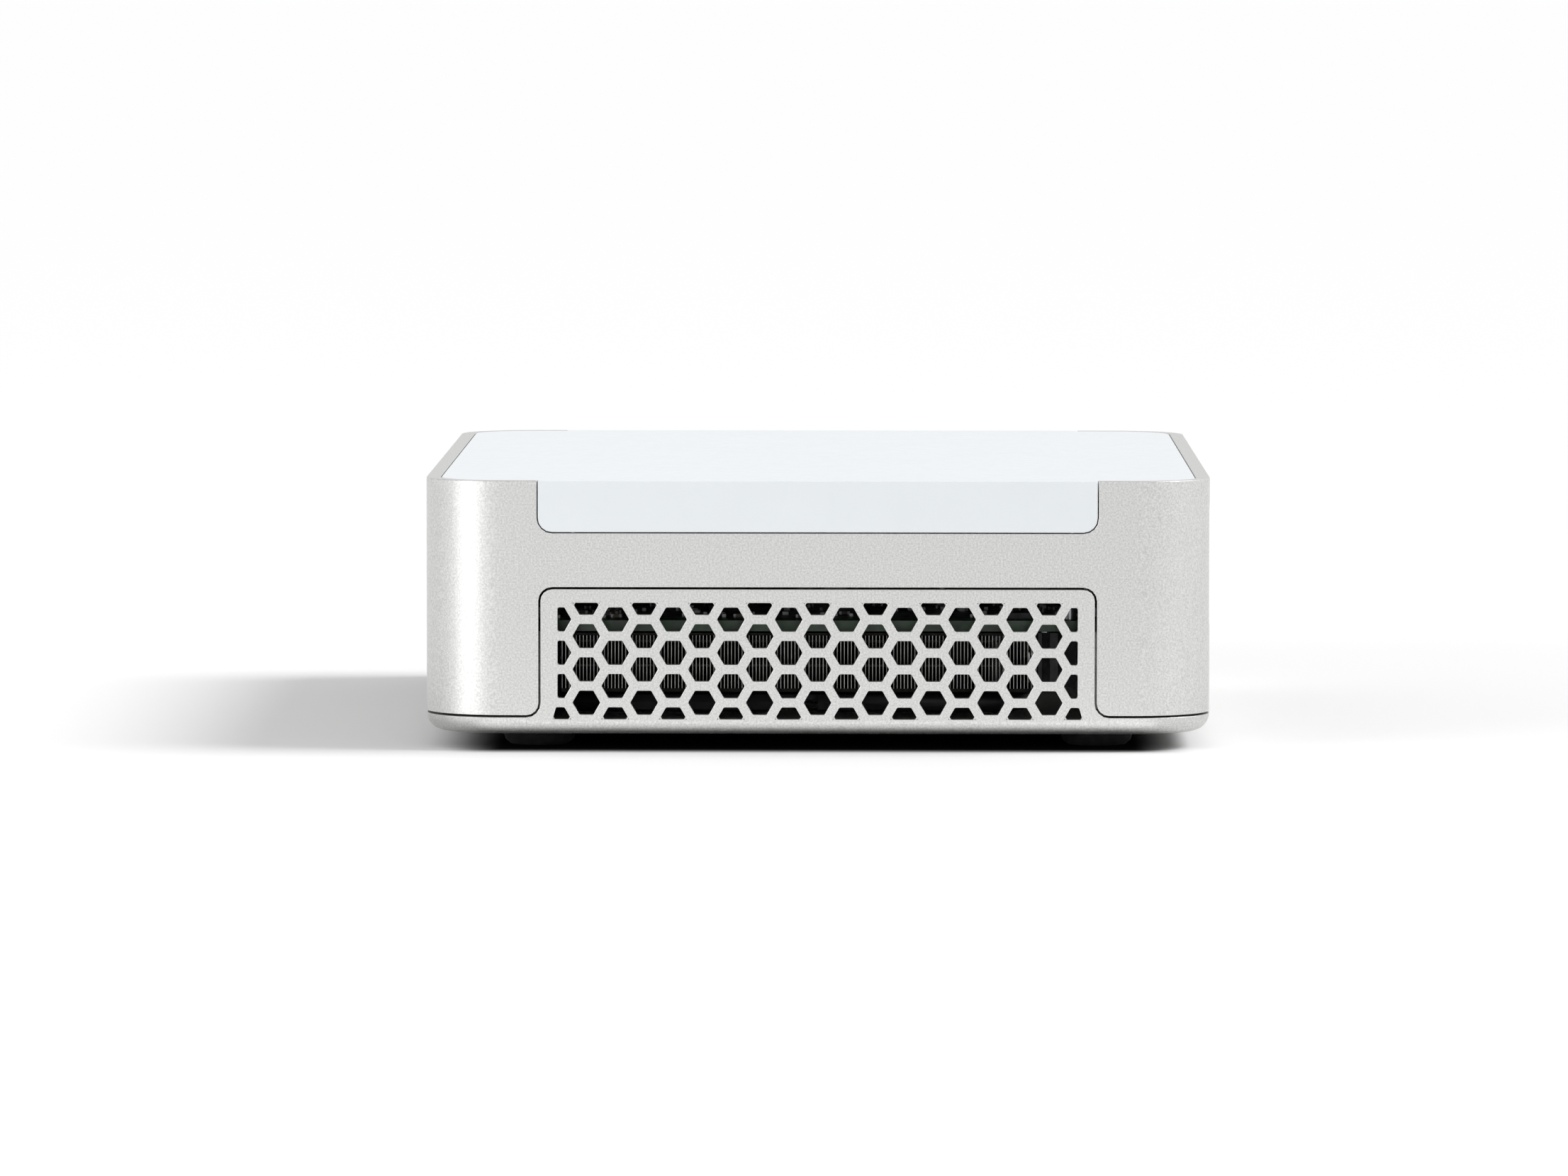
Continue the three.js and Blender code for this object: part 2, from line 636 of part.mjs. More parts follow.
const usbCPort = (x, side) =>
  port({
    x, z: boardTop + usbC.height / 2, w: usbC.width, h: usbC.height, corner: 1.5, rim: usbC.wall,
    length: usbC.depth, tongue: { w: 6.7, h: 0.7, rise: 0, inset: 1 }, ...side,
  });

const usbAPort = (x, z, side) =>
  port({
    x, z, w: usbA.width, h: usbA.height, corner: 0.5, rim: usbA.wall,
    length: usbA.depth, tongue: { w: 11.1, h: 1.9, rise: 1, inset: 0.8 }, ...side,
  });

const hdmi = { width: 15, height: 5.6 };
const hdmiPort = (x) =>
  port({
    x, z: boardTop + hdmi.height / 2, w: hdmi.width, h: hdmi.height, corner: 0.6, rim: 0.45,
    length: 11.5, tongue: { w: 11, h: 1, rise: 0.3, inset: 1.2 }, ...rearFace,
  });

const ethernet = { x: 36, width: 15.9, height: 13.4, length: 17 };
function ethernetJack() {
  const { face } = rearFace;
  const { x, width: w, height: h, length } = ethernet;
  const cavityBottom = boardTop + 1.2;
  const body = box(x - w / 2, x + w / 2, face - length, face, boardTop, boardTop + h);
  const plugRoom = box(x - 5.95, x + 5.95, face - 12, face + 1, cavityBottom + 1.6, cavityBottom + 9.6);
  const latchRoom = box(x - 3.1, x + 3.1, face - 8, face + 1, cavityBottom, cavityBottom + 2);
  return body.subtract(plugRoom).subtract(latchRoom);
}

const stack = { x: 17, width: 14, height: 15.4 };
const stackZ = [boardTop + 0.6 + usbA.height / 2, boardTop + 0.6 + usbA.height * 1.5 + 2.6];
function usbAStack() {
  const { face } = rearFace;
  const frame = box(stack.x - stack.width / 2, stack.x + stack.width / 2,
    face - 16, face, boardTop, boardTop + stack.height);
  return stackZ.reduce((body, z) => {
    const room = box(stack.x - 6.25, stack.x + 6.25, face - 11.5, face + 1, z - 2.55, z + 2.55);
    const tongue = box(stack.x - 5.55, stack.x + 5.55, face - 12, face - 0.8, z + 0.05, z + 1.95);
    return body.subtract(room).add(tongue);
  }, frame);
}

const powerJack = { x: 53, z: boardTop + 5.2, halfWidth: 4.7, halfHeight: 5.2 };
function dcJack() {
  const { face } = rearFace;
  const { x, z, halfWidth, halfHeight } = powerJack;
  const body = box(x - halfWidth, x + halfWidth, face - 11.8, face, z - halfHeight, z + halfHeight);
  const room = rodY(x, z, 3.3, face - 10, face + 1);
  return body.subtract(room).add(rodY(x, z, 1.2, face - 11, face - 1, 12));
}

const rearLayout = { hdmi: [-1, -19], usbC: [-33.5, -45.5] };

// The plate behind the ports, a little back from the ring's rear face, with one window a port.
function ioPanel() {
  const { x0, x1, z0, z1 } = rearPorts.panel;
  const [y0, y1] = [rear - 1.9, rear - 0.4];
  const size = [x1 - x0 - 2 * seam, z1 - z0 - 2 * seam];
  const plate = slabY(roundedRect(...size, 1.2, (x0 + x1) / 2, (z0 + z1) / 2), y0, y1, 2);
  const clear = seam;
  const window = (x, z, halfX, halfZ) =>
    box(x - halfX - clear, x + halfX + clear, y0 - 1, y1 + 1, z - halfZ - clear, z + halfZ + clear);
  const windows = [
    window(powerJack.x, powerJack.z, powerJack.halfWidth, powerJack.halfHeight),
    window(ethernet.x, boardTop + ethernet.height / 2, ethernet.width / 2, ethernet.height / 2),
    window(stack.x, boardTop + stack.height / 2, stack.width / 2, stack.height / 2),
    ...rearLayout.hdmi.map((x) => window(x, boardTop + hdmi.height / 2, hdmi.width / 2, hdmi.height / 2)),
    ...rearLayout.usbC.map((x) => window(x, boardTop + usbC.height / 2, usbC.width / 2, usbC.height / 2)),
  ];
  return plate.subtract(join(windows)).subtract(box(-68, 68, y0 - 1, y1 + 1, 0, boardTop));
}

// ---- power button ----
const powerButton = () => {
  const { x, z } = frontPorts.button;
  const cap = rodY(x, z, button.radius, -rear + 0.1, -rear + 2.6, 20);
  const flange = rodY(x, z, button.radius + 0.9, -rear + 2.4, -rear + 3.2, 20);
  return join([cap, flange, rodY(x, z, 1.4, -rear + 3, -rear + 5.2, 16)]);
};

const lightRing = () => {
  const { x, z } = frontPorts.button;
  const outer = rodY(x, z, button.ringOuter, -rear + 0.1, -rear + 2, 20);
  return outer.subtract(rodY(x, z, button.ringInner, -rear - 1, -rear + 3, 20));
};

// The switch behind the button, on the board's front edge, and the plunger that the button pushes.
const plunger = { radius: 1.2, room: 1.5 };
const tactSwitch = () => {
  const { x, z } = frontPorts.button;
  const y0 = -rear + 6.4;
  const bodyBlock = box(x - 3, x + 3, y0, y0 + 3.6, boardTop, z + 3);
  return bodyBlock.subtract(rodY(x, z, plunger.room, y0 - 1, y0 + 2.4, 16));
};
const switchPlunger = () => {
  const { x, z } = frontPorts.button;
  return rodY(x, z, plunger.radius, -rear + 5.2, -rear + 8, 12);
};

// ---- assembly ----
const group = new THREE.Group();
group.name = "mini_pc";

function add(name, body, material, parent = group) {
  const mesh = new THREE.Mesh(geometryOf(body), material);
  mesh.name = name;
  parent.add(mesh);
}

add("housing_ring", housingRing(), finish.aluminium);
add("top_cover", lidPlate(), finish.lid);
add("bottom_tray", tray(), finish.aluminium);
for (const corner of corners) {
  add("foot_" + corner.name, foot(corner), finish.rubber);
  add("tray_screw_" + corner.name, trayScrew(corner), finish.screw);
  add("board_screw_" + corner.name, boardScrew(corner), finish.screw);
}
for (const { name, y } of insertAt) add("bracket_insert_" + name, bracketInsert(y), finish.screw);

add("main_board", mainBoard(), finish.board);
add("processor", processor(), finish.silicon);
add("cold_plate", coldPlate(), finish.copper);
add("heat_pipe_front", heatPipe(-24, 14, -35, -6), finish.copper);
add("heat_pipe_rear", heatPipe(-15, -20, 29.3, 0), finish.copper);
add("fin_stack", finStack(), finish.fin);
add("fan_frame", fanFrame(), finish.plastic);
add("fan_cover", fanCover(), finish.plastic);
add("fan_impeller", fanImpeller(), finish.plastic);

for (const slot of memory) {
  add("memory_socket_" + slot.name, memorySocket(slot), finish.plastic);
  add("memory_module_" + slot.name, memoryModule(slot), finish.board);
}
add("ssd_socket", cardSocket(ssd), finish.plastic);
add("ssd_card", card(ssd, [[-30, 6, 7], [-12, 7, 8], [8, 7, 8]]), finish.board);
add("ssd_standoff", standoff(ssd), finish.screw);
add("ssd_screw", cardScrew(ssd), finish.screw);
add("wifi_socket", cardSocket(wifi), finish.plastic);
add("wifi_card", card(wifi, [[-30, 8, 8]]), finish.board);
add("wifi_standoff", standoff(wifi), finish.screw);
add("wifi_screw", cardScrew(wifi), finish.screw);
add("cell_holder", cellHolder(), finish.plastic);
add("coin_cell", coinCell(), finish.cell);
add("antenna_right", antennaStrip(1), finish.copper);
add("antenna_left", antennaStrip(-1), finish.copper);
add("antenna_lead_right", antennaLead(1, -10), finish.cable);
add("antenna_lead_left", antennaLead(-1, -18), finish.cable);

add("io_panel", ioPanel(), finish.plastic);
add("dc_jack", dcJack(), finish.plastic);
add("ethernet_jack", ethernetJack(), finish.shield);
add("usb_a_stack", usbAStack(), finish.shield);
rearLayout.hdmi.forEach((x, i) => add("hdmi_port_" + (i + 1), hdmiPort(x), finish.shield));
rearLayout.usbC.forEach((x, i) => add("usb_c_rear_" + (i + 1), usbCPort(x, rearFace), finish.shield));
frontPorts.usbA.forEach((x, i) =>
  add("usb_a_front_" + (i + 1), usbAPort(x, boardTop + usbA.height / 2, frontFace), finish.shield));
add("usb_c_front", usbCPort(frontPorts.usbC, frontFace), finish.shield);

add("power_button", powerButton(), finish.aluminium);
add("button_light_ring", lightRing(), finish.glow);
add("button_switch", tactSwitch(), finish.plastic);
add("switch_plunger", switchPlunger(), finish.plastic);

export default group;
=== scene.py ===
"""The finished looks of a mini pc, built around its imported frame. Units are metres, +Z is up."""

import json
import math
import random

import bmesh
import bpy
from mathutils import Matrix, Vector


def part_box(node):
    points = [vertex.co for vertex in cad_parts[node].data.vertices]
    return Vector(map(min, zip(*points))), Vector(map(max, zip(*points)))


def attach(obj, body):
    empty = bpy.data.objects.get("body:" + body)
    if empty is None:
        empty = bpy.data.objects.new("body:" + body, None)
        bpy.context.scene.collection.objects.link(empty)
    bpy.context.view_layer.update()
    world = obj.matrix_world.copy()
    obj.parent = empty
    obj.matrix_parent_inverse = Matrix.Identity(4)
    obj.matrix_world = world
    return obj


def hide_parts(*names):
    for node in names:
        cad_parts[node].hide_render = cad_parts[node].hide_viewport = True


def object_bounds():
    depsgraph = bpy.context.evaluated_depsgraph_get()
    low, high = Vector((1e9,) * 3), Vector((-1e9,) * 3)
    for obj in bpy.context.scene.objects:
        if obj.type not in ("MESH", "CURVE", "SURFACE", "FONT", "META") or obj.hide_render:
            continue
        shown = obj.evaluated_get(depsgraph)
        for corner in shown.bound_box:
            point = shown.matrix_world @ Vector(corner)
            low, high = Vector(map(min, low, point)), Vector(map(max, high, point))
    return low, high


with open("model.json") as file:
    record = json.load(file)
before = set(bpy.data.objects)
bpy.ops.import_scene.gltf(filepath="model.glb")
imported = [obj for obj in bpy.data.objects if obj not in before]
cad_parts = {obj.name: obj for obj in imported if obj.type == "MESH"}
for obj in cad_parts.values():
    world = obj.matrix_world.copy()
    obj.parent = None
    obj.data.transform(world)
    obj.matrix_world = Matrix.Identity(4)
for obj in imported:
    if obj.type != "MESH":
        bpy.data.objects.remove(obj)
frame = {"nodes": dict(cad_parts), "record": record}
cad_low, cad_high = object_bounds()
nodes = frame["nodes"]
slot_of = {part["node"]: part["material_slot"] for part in frame["record"]["subparts"]}
body_of_node = {
    node: body
    for body, members in frame["record"]["behaviour"]["bodies"].items()
    for node in members
}
MM = 0.001
SHARP_ANGLE = math.radians(34)
scene = bpy.context.scene


# ---- materials ----
class Paint:
    """A Principled material that is built up from noise, in object space."""

    def __init__(self, name, color, roughness, metallic=0.0):
        self.material = bpy.data.materials.new(name)
        self.material.use_nodes = True
        self.tree = self.material.node_tree
        self.shader = self.tree.nodes["Principled BSDF"]
        self.color = (*color, 1.0)
        self.shader.inputs["Base Color"].default_value = self.color
        self.shader.inputs["Roughness"].default_value = roughness
        self.shader.inputs["Metallic"].default_value = metallic
        self.place = self.tree.nodes.new("ShaderNodeTexCoord").outputs["Object"]
        self.normal = None

    def noise(self, size, detail=2.0, stretch=None):
        """Noise whose features are about size metres across."""
        node = self.tree.nodes.new("ShaderNodeTexNoise")
        node.inputs["Scale"].default_value = 1.0 / size
        node.inputs["Detail"].default_value = detail
        place = self.place
        if stretch:
            mapping = self.tree.nodes.new("ShaderNodeMapping")
            mapping.inputs["Scale"].default_value = stretch
            self.tree.links.new(place, mapping.inputs["Vector"])
            place = mapping.outputs["Vector"]
        self.tree.links.new(place, node.inputs["Vector"])
        return node.outputs["Fac"]

    def ramp(self, factor, low, high, low_at=0.3, high_at=0.7):
        """Maps a factor onto colours or grey values between low and high."""
        node = self.tree.nodes.new("ShaderNodeValToRGB")
        node.color_ramp.elements[0].position = low_at
        node.color_ramp.elements[1].position = high_at
        for element, value in zip(node.color_ramp.elements, (low, high)):
            grey = isinstance(value, (int, float))
            element.color = (value, value, value, 1.0) if grey else (*value, 1.0)
        self.tree.links.new(factor, node.inputs["Fac"])
        return node.outputs["Color"]

    def math(self, operation, *values):
        """One arithmetic node on sockets or numbers."""
        node = self.tree.nodes.new("ShaderNodeMath")
        node.operation = operation
        for socket, value in zip(node.inputs, values):
            if isinstance(value, (int, float)):
                socket.default_value = value
            else:
                self.tree.links.new(value, socket)
        return node.outputs["Value"]

    def bump(self, height, distance, strength=1.0):
        """Adds relief of about distance metres."""
        node = self.tree.nodes.new("ShaderNodeBump")
        node.inputs["Distance"].default_value = distance
        node.inputs["Strength"].default_value = strength
        self.tree.links.new(height, node.inputs["Height"])
        if self.normal:
            self.tree.links.new(self.normal, node.inputs["Normal"])
        self.normal = node.outputs["Normal"]
        self.tree.links.new(self.normal, self.shader.inputs["Normal"])
        return self

    def vary_color(self, factor, low, high, low_at=0.3, high_at=0.7):
        """Lets a factor run the base colour from low to high."""
        color = self.ramp(factor, low, high, low_at, high_at)
        self.tree.links.new(color, self.shader.inputs["Base Color"])
        return self

    def vary_roughness(self, factor, low, high):
        """Lets a factor run the roughness from low to high."""
        self.tree.links.new(self.ramp(factor, low, high), self.shader.inputs["Roughness"])
        return self


def shade(color, share):
    """A colour made darker or lighter by a share."""
    return tuple(channel * share for channel in color)


def blasted_aluminium():
    base = (0.62, 0.62, 0.61)
    paint = Paint("blasted_aluminium", base, 0.42, 1.0)
    paint.vary_color(paint.noise(0.25 * MM, 1.0), shade(base, 0.86), shade(base, 1.12))
    paint.vary_roughness(paint.noise(0.4 * MM), 0.36, 0.5)
    paint.bump(paint.noise(0.18 * MM, 1.0), 0.012 * MM, 0.6)
    return paint.material


def lid_white():
    base = (0.67, 0.70, 0.72)
    paint = Paint("lid_white", base, 0.36)
    paint.vary_color(paint.noise(9 * MM, 3.0), shade(base, 0.985), base)
    paint.vary_roughness(paint.noise(1.5 * MM), 0.32, 0.4)
    paint.bump(paint.noise(0.35 * MM), 0.004 * MM, 0.5)
    return paint.material


def foot_rubber():
    base = (0.014, 0.014, 0.015)
    paint = Paint("foot_rubber", base, 0.8)
    paint.vary_color(paint.noise(1.2 * MM, 4.0), shade(base, 0.7), shade(base, 1.6))
    paint.bump(paint.noise(0.3 * MM, 3.0), 0.02 * MM, 0.7)
    return paint.material


def plated(name, base, low=0.22, high=0.42):
    """Bare metal whose roughness runs from low to high."""
    paint = Paint(name, base, 0.3, 1.0)
    paint.vary_color(paint.noise(2.2 * MM, 3.0), shade(base, 0.85), shade(base, 1.08))
    paint.vary_roughness(paint.noise(0.9 * MM, 3.0), low, high)
    paint.bump(paint.noise(0.25 * MM, 2.0, (1, 1, 0.15)), 0.004 * MM, 0.5)
    return paint.material


def circuit_board():
    mask = (0.008, 0.027, 0.011)
    paint = Paint("circuit_board", mask, 0.38)
    paint.vary_color(paint.noise(3 * MM, 5.0), shade(mask, 0.6), shade(mask, 1.5), 0.42, 0.58)
    paint.vary_roughness(paint.noise(2 * MM), 0.3, 0.5)
    paint.bump(paint.noise(0.8 * MM, 4.0), 0.03 * MM, 0.6)
    return paint.material


def moulded(name, base, grain=0.35, low=0.4, high=0.6):
    """Plastic with a grain of so many millimetres, its roughness from low to high."""
    paint = Paint(name, base, 0.5)
    paint.vary_color(paint.noise(4 * MM, 3.0), shade(base, 0.8), shade(base, 1.25))
    paint.vary_roughness(paint.noise(1 * MM, 2.0), low, high)
    paint.bump(paint.noise(grain * MM, 2.0), 0.012 * MM, 0.6)
    return paint.material


# Fin sheets drawn near black: painted shade for the deep gaps between them.
def fin_metal_painted_shade():
    base = (0.012, 0.012, 0.011)
    paint = Paint("fin_metal_painted_shade", base, 0.34, 1.0)
    paint.vary_color(paint.noise(1.6 * MM, 4.0), shade(base, 0.7), shade(base, 1.2))
    paint.vary_roughness(paint.noise(0.6 * MM, 3.0), 0.26, 0.46)
    paint.bump(paint.noise(0.4 * MM, 3.0, (0.2, 1, 1)), 0.01 * MM, 0.6)
    return paint.material


COPPER = (0.72, 0.36, 0.20)
STEEL = (0.55, 0.56, 0.58)
BLACK = (0.018, 0.018, 0.020)

looks = {
    "ring_metal": blasted_aluminium(),
    "lid_white": lid_white(),
    "foot_rubber": foot_rubber(),
    "screw_steel": plated("screw_steel", STEEL),
    "board_green": circuit_board(),
    "chip_black": moulded("chip_black", (0.022, 0.023, 0.026), 0.2),
    "copper": plated("copper", COPPER, 0.25, 0.42),
    # Heat pipes drawn near black: painted shade for the dark inside of the case.
    "pipe_black": moulded("pipe_black", (0.012, 0.012, 0.013), 0.4, 0.4, 0.55),
    "fin_aluminium": fin_metal_painted_shade(),
    "cable_black": moulded("cable_black", (0.016, 0.016, 0.017), 0.3, 0.35, 0.5),
    "cell_steel": plated("cell_steel", (0.62, 0.63, 0.64), 0.18, 0.32),
    "light_ring": moulded("light_ring", (0.68, 0.76, 0.84), 0.5, 0.15, 0.3),
    "port_steel": plated("port_steel", (0.60, 0.61, 0.62), 0.2, 0.36),
    "black_plastic": moulded("black_plastic", BLACK),
}
# A lighter copy of the fin metal for the sheets' outer edges: painted highlight where they catch
# light.
fin_edge_painted_highlight = plated("fin_edge_painted_highlight", (0.32, 0.32, 0.30), 0.25, 0.4)
lamp_green = moulded("lamp_green", (0.05, 0.32, 0.08), 0.3, 0.2, 0.35)
gold = plated("gold", (0.85, 0.62, 0.26), 0.2, 0.34)
ceramic = moulded("ceramic", (0.16, 0.13, 0.10), 0.2, 0.35, 0.5)
solder = plated("solder", (0.42, 0.43, 0.43), 0.3, 0.5)


# ---- mesh helpers ----
def finish_edges(piece, bevel, segments=2):
    """Rounds the piece's edges by bevel metres and gives it even shading."""
    if bevel:
        round_edges = piece.modifiers.new("round_edges", "BEVEL")
        round_edges.width = bevel
        round_edges.segments = segments
        round_edges.limit_method = "ANGLE"
        round_edges.angle_limit = SHARP_ANGLE
        round_edges.use_clamp_overlap = False
        round_edges.harden_normals = True
    else:
        piece.modifiers.new("even_shading", "WEIGHTED_NORMAL").keep_sharp = True


def piece_from(bm, name, material, body, bevel=0.0, segments=2):
    """A new piece from a bmesh, riding on a body."""
    mesh = bpy.data.meshes.new(name)
    bmesh.ops.recalc_face_normals(bm, faces=bm.faces)
    bm.to_mesh(mesh)
    bm.free()
    mesh.polygons.foreach_set("use_smooth", [True] * len(mesh.polygons))
    mesh.set_sharp_from_angle(angle=SHARP_ANGLE)
    mesh.materials.append(material)
    piece = bpy.data.objects.new(name, mesh)
    scene.collection.objects.link(piece)
    finish_edges(piece, bevel, segments)
    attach(piece, body)
    return piece


def round_cells(bm, reach, radius, segments=4):
    """Adds a small wedge in each corner of the honeycomb holes, so that the corners are round."""
    panel_half_width = 38.2 * MM
    panel_low = 4.5 * MM
    panel_high = 21.5 * MM
    shortest = 1.2 * MM
    corners = []
    for edge in bm.edges:
        a, b = (vertex.co for vertex in edge.verts)
        along = abs(a.x - b.x)
        level = abs(a.y - b.y) + abs(a.z - b.z)
        inside = abs(a.y) < panel_half_width and panel_low < a.z < panel_high
        if along < shortest or level > 0.01 * MM or abs(a.x + b.x) / 2 < reach or not inside:
            continue
        first, second = edge.link_faces
        towards = second.calc_center_median() - a
        if first.normal.dot(second.normal) < 0.95 and towards.dot(first.normal) > 0:
            corners.append((a.copy(), b.copy(), first.normal.copy(), second.normal.copy()))
    setback = 0.05 * MM
    for a, b, first, second in corners:
        middle = (first + second).normalized()
        centre = middle * (radius / middle.dot(first))
        outline = [Vector((0, 0, 0))]
        for i in range(segments + 1):
            direction = first.lerp(second, i / segments).normalized()
            outline.append(centre - direction * radius)
        rings = []
        for end in (max(a.x, b.x) - setback, min(a.x, b.x) + setback):
            rings.append([bm.verts.new((end, a.y + p.y, a.z + p.z)) for p in outline])
        count = len(outline)
        faces = [bm.faces.new(rings[0]), bm.faces.new(rings[1][::-1])]
        for i in range(count):
            j = (i + 1) % count
            faces.append(bm.faces.new((rings[0][i], rings[1][i], rings[1][j], rings[0][j])))
        bmesh.ops.recalc_face_normals(bm, faces=faces)


def round_lower_edge(bm, corner=11 * MM, seam=0.3 * MM, facets=9):
    """Puts the tray's lower edge on a true quarter round, with more facets than the CAD has."""
    low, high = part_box("bottom_tray")
    rim_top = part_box("housing_ring")[0].z - seam
    radius = rim_top - low.z
    for i in range(1, facets):
        height = rim_top - radius * math.sin(math.radians(90 * i / facets))
        whole = bm.verts[:] + bm.edges[:] + bm.faces[:]
        bmesh.ops.bisect_plane(
            bm, geom=whole, dist=0.001 * MM, plane_co=(0, 0, height), plane_no=(0, 0, 1)
        )
    start_x = high.x - corner
    start_y = high.y - corner
    for vertex in bm.verts:
        x, y, z = vertex.co
        beyond = Vector((max(abs(x) - start_x, 0), max(abs(y) - start_y, 0)))
        out = beyond.length - (corner - radius)
        down = rim_top - z
        reach = math.hypot(out, down)
        if down < 0 or out <= 0 or reach < 0.95 * radius:
            continue
        scale = radius / reach
        ring = (corner - radius + out * scale) / beyond.length
        if beyond.x > 0:
            vertex.co.x = math.copysign(start_x + beyond.x * ring, x)
        if beyond.y > 0:
            vertex.co.y = math.copysign(start_y + beyond.y * ring, y)
        vertex.co.z = rim_top - down * scale
    bm.normal_update()


def reshape_tray(bm):
    """Both changes to the tray's shape: its lower edge and its honeycomb."""
    round_lower_edge(bm)
    round_cells(bm, 70 * MM, 0.35 * MM)


def refine(node, bevel, segments=2, material=None, reshape=None):
    """A welded copy of a node with rounded edges, which stands for the node."""
    bm = bmesh.new()
    bm.from_mesh(nodes[node].data)
    bmesh.ops.remove_doubles(bm, verts=bm.verts, dist=0.002 * MM)
    bmesh.ops.dissolve_limit(
        bm, angle_limit=math.radians(0.6), verts=bm.verts, edges=bm.edges, delimit=set()
    )
    if reshape:
        reshape(bm)
    slot = slot_of[node]
    look = material or looks[slot]
    piece = piece_from(bm, node + "_finished", look, body_of_node[node], bevel, segments)
    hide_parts(node)
    return piece


def add_box(bm, low, high):
    """A box between two corners, in millimetres."""
    size = [b - a for a, b in zip(low, high)]
    middle = [(a + b) / 2 for a, b in zip(low, high)]
    place = Matrix.Translation(Vector(middle) * MM) @ Matrix.Diagonal((*[s * MM for s in size], 1))
    bmesh.ops.create_cube(bm, size=1.0, matrix=place)


# ---- casing ----
refine("housing_ring", 0.08 * MM)
refine("top_cover", 0.12 * MM)
tray = refine("bottom_tray", 0.05 * MM, reshape=reshape_tray)
tray.modifiers["round_edges"].harden_normals = False
tray.modifiers.new("even_shading", "WEIGHTED_NORMAL").keep_sharp = True

# ---- everything else that keeps its shape ----
edge_width = {
    "main_board": 0.08,
    "fan_frame": 0.15,
    "fan_cover": 0.12,
    "fan_impeller": 0.06,
    "io_panel": 0.12,
    "ethernet_jack": 0.15,
    "usb_a_stack": 0.12,
    "dc_jack": 0.15,
    "power_button": 0.2,
    "button_light_ring": 0.1,
    "coin_cell": 0.15,
    "cell_holder": 0.15,
    "processor": 0.06,
    "cold_plate": 0.12,
}
plain_nodes = [
    node for node in sorted(nodes)
    if node not in ("housing_ring", "top_cover", "bottom_tray", "fin_stack")
]
for node in plain_nodes:
    smooth = node.startswith(("foot_", "tray_screw", "board_screw", "heat_pipe", "antenna_lead"))
    # The heat pipes get the near-black look, painted shade for the dark inside of the case.
    look = looks["pipe_black"] if node.startswith("heat_pipe") else None
    refine(node, 0 if smooth else edge_width.get(node, 0.08) * MM, material=look)


# ---- cooling fins ----
def fin_stack():
    """Thin folded sheets that lock into each other along two bands, on a base plate."""
    low, high = (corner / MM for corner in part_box("fin_stack"))
    sheets = bmesh.new()
    edges = bmesh.new()
    pitch = 0.5
    sheet = 0.1
    lip = 0.2
    base = 0.5
    cap = 0.35
    band_height = 0.3
    count = int((high.y - low.y) / pitch)
    step = (high.y - low.y - sheet) / count
    bands = (low.z + 3.6, high.z - 1.3)
    for i in range(count + 1):
        y = low.y + i * step
        add_box(sheets, (low.x + lip, y, low.z + base), (high.x - lip, y + sheet, high.z - cap))
        # The outer edge strip of each sheet, drawn with the lighter painted-highlight copy.
        add_box(edges, (high.x - lip, y, low.z + base), (high.x, y + sheet, high.z - cap))
        if i < count:
            for band in bands:
                far = (high.x - lip, y + step, band + band_height)
                add_box(sheets, (high.x - 2 * lip, y, band), far)
    add_box(sheets, (low.x, low.y, low.z), (high.x, high.y, low.z + base))
    add_box(sheets, (low.x + lip, low.y, high.z - cap), (high.x - lip, high.y, high.z))
    # The sheets carry the near-black painted shade, the edge strips the painted highlight.
    piece = piece_from(sheets, "fin_sheets", looks["fin_aluminium"], "case")
    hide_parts("fin_stack")
    piece_from(edges, "fin_edges", fin_edge_painted_highlight, "case")


fin_stack()


# ---- duct behind the grille ----
def duct_end():
    """The dark end of the air duct beside the fins, and a pillar on the board above it."""
    walls = bmesh.new()
    low, high = (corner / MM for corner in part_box("fin_stack"))
    for start, end in ((0.4, 1.0), (2.1, 3.3)):
        add_box(walls, (high.x - 3, high.y + start, low.z), (high.x - 1.5, high.y + end, high.z))
    add_box(walls, (low.x, high.y + 0.4, low.z), (low.x + 0.8, high.y + 7, high.z))
    piece_from(walls, "duct_walls", looks["black_plastic"], "case", 0.05 * MM, 1)
    board_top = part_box("main_board")[1].z / MM
    pillar = bmesh.new()
    place = Matrix.Translation(Vector((high.x, high.y + 4.9, board_top + 1.3)) * MM)
    bmesh.ops.create_cone(
        pillar, cap_ends=True, segments=24, radius1=0.9 * MM, radius2=0.9 * MM, depth=2.6 * MM,
        matrix=place,
    )
    piece_from(pillar, "board_pillar", looks["screw_steel"], "case", 0.08 * MM, 2)


duct_end()


